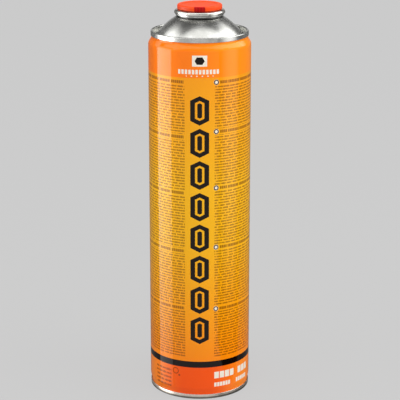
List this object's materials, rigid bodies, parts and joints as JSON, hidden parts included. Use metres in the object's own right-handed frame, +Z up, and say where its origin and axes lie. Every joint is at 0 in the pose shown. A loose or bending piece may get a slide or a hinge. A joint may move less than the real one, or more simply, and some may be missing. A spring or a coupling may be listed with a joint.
{
  "type": "fuel canister",
  "caption": "Tall slim self-sealing gas cartridge: printed tinplate can with bare double seams and cone, crimped valve cup, threaded valve and low red cap.",
  "frame": {"origin": "centre of the ring that the can stands on", "axes": "+Z up along the can's axis; -Y towards the front, where the cap has its pry tab"},
  "size_m": [0.065, 0.065, 0.253],
  "materials": {
    "printed_tinplate": "gloss print on the body, bare bright tinplate on the cone, seams and base",
    "bare_tinplate": "bright",
    "rubber": "matt",
    "cap_plastic": "semi-gloss moulding"
  },
  "bodies": {
    "root": {"canister": "printed_tinplate", "valve_cup": "bare_tinplate", "cup_gasket": "rubber", "valve_collar": "bare_tinplate", "valve_seal": "rubber", "valve_core": "bare_tinplate", "cap": "cap_plastic"}
  },
  "joints": []
}
